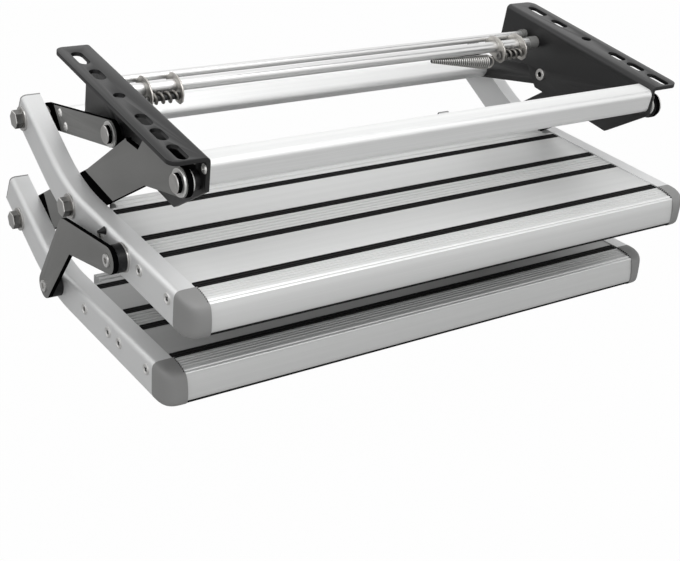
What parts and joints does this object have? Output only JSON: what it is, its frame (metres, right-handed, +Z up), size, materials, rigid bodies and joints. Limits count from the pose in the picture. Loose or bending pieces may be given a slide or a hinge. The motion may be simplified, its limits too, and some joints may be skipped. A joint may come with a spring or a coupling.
{
  "type": "caravan entry step",
  "caption": "Folding double entry step for a caravan or camper, with ribbed treads on bent side rails and a lever linkage under slotted mounting brackets.",
  "frame": {"origin": "midway between the two round flange holes, on the top plane of the mounting flanges", "axes": "+X along the treads to the right, +Y to the rear of the bracket under the vehicle, +Z up"},
  "size_m": [0.6295, 0.4146, 0.2633],
  "materials": {
    "black_powder_coat": "satin powder coat",
    "rail_aluminium": "satin anodised",
    "tread_aluminium": "brushed along its length",
    "strip_rubber": "matt, ribbed",
    "grey_plastic": "fine moulded grain",
    "black_plastic": "satin",
    "white_nylon": "satin",
    "zinc_steel": "bright zinc plate",
    "spring_steel": "bright wire"
  },
  "bodies": {
    "bracket_frame": {"bracket_left": "black_powder_coat", "bracket_right": "black_powder_coat", "coil_spring_left": "spring_steel", "coil_spring_right": "spring_steel", "front_pivot_pin_left": "zinc_steel", "front_pivot_pin_right": "zinc_steel", "front_tube": "tread_aluminium", "front_tube_screws": "zinc_steel", "lock_shaft": "zinc_steel", "nylon_washers": "white_nylon", "pivot_spacers": "black_plastic", "pivot_washers": "zinc_steel", "rear_pivot_pin_left": "zinc_steel", "rear_pivot_pin_right": "zinc_steel", "return_spring": "spring_steel", "shaft_sleeves": "grey_plastic", "spring_ears_left": "zinc_steel", "spring_ears_right": "zinc_steel", "spring_pin_left": "zinc_steel", "spring_pin_right": "zinc_steel", "tie_rod": "zinc_steel", "tie_rod_collars": "zinc_steel"},
    "main_levers": {"lever_left": "black_powder_coat", "lever_right": "black_powder_coat"},
    "rear_links": {"rear_link_left": "black_powder_coat", "rear_link_right": "black_powder_coat", "rear_link_studs": "zinc_steel", "rear_tube": "tread_aluminium", "rear_tube_screws": "zinc_steel"},
    "upper_step": {"stabiliser_pin": "zinc_steel", "stabiliser_spacer": "black_plastic", "stop_stud": "black_plastic", "upper_bolt_washers": "zinc_steel", "upper_cap_left": "grey_plastic", "upper_cap_right": "grey_plastic", "upper_end_bolts": "zinc_steel", "upper_lever_bolts": "zinc_steel", "upper_lever_nuts": "zinc_steel", "upper_rail_left": "rail_aluminium", "upper_rail_plugs": "grey_plastic", "upper_rail_right": "rail_aluminium", "upper_rail_screws": "zinc_steel", "upper_strips": "strip_rubber", "upper_tread": "tread_aluminium"},
    "lower_step": {"lower_bolt_washers": "zinc_steel", "lower_cap_left": "grey_plastic", "lower_cap_right": "grey_plastic", "lower_lever_bolts": "zinc_steel", "lower_lever_nuts": "zinc_steel", "lower_rail_left": "rail_aluminium", "lower_rail_plugs": "grey_plastic", "lower_rail_right": "rail_aluminium", "lower_rail_screws": "zinc_steel", "lower_strips": "strip_rubber", "lower_tread": "tread_aluminium"},
    "stabiliser_links": {"stabiliser": "black_powder_coat", "stabiliser_end_pin": "zinc_steel", "stabiliser_end_spacer": "black_plastic"}
  },
  "joints": [
    {"name": "fold", "type": "hinge", "parent": "bracket_frame", "child": "main_levers", "pos_m": [0, -0.1155, -0.0273], "axis": [-1, 0, 0], "range_deg": [0, 76]},
    {"name": "rear_link_swing", "type": "hinge", "parent": "bracket_frame", "child": "rear_links", "pos_m": [0, 0.034, -0.0554], "axis": [-1, 0, 0], "range_deg": [0, 110.08]},
    {"name": "upper_step_swing", "type": "hinge", "parent": "main_levers", "child": "upper_step", "pos_m": [0, 0.05793, -0.13986], "axis": [1, 0, 0], "range_deg": [0, 81.21]},
    {"name": "lower_step_swing", "type": "hinge", "parent": "main_levers", "child": "lower_step", "pos_m": [0, 0.1864, -0.22546], "axis": [1, 0, 0], "range_deg": [0, 83.81]},
    {"name": "stabiliser_swing", "type": "hinge", "parent": "upper_step", "child": "stabiliser_links", "pos_m": [0, -0.06023, -0.1286], "axis": [-1, 0, 0], "range_deg": [0, 68.07]}
  ],
  "couplings": [
    {"joint": "rear_link_swing", "follows": "fold", "ratio": 1.4482},
    {"joint": "upper_step_swing", "follows": "fold", "ratio": 1.0684},
    {"joint": "lower_step_swing", "follows": "fold", "ratio": 1.1026},
    {"joint": "stabiliser_swing", "follows": "fold", "ratio": 0.89551}
  ]
}
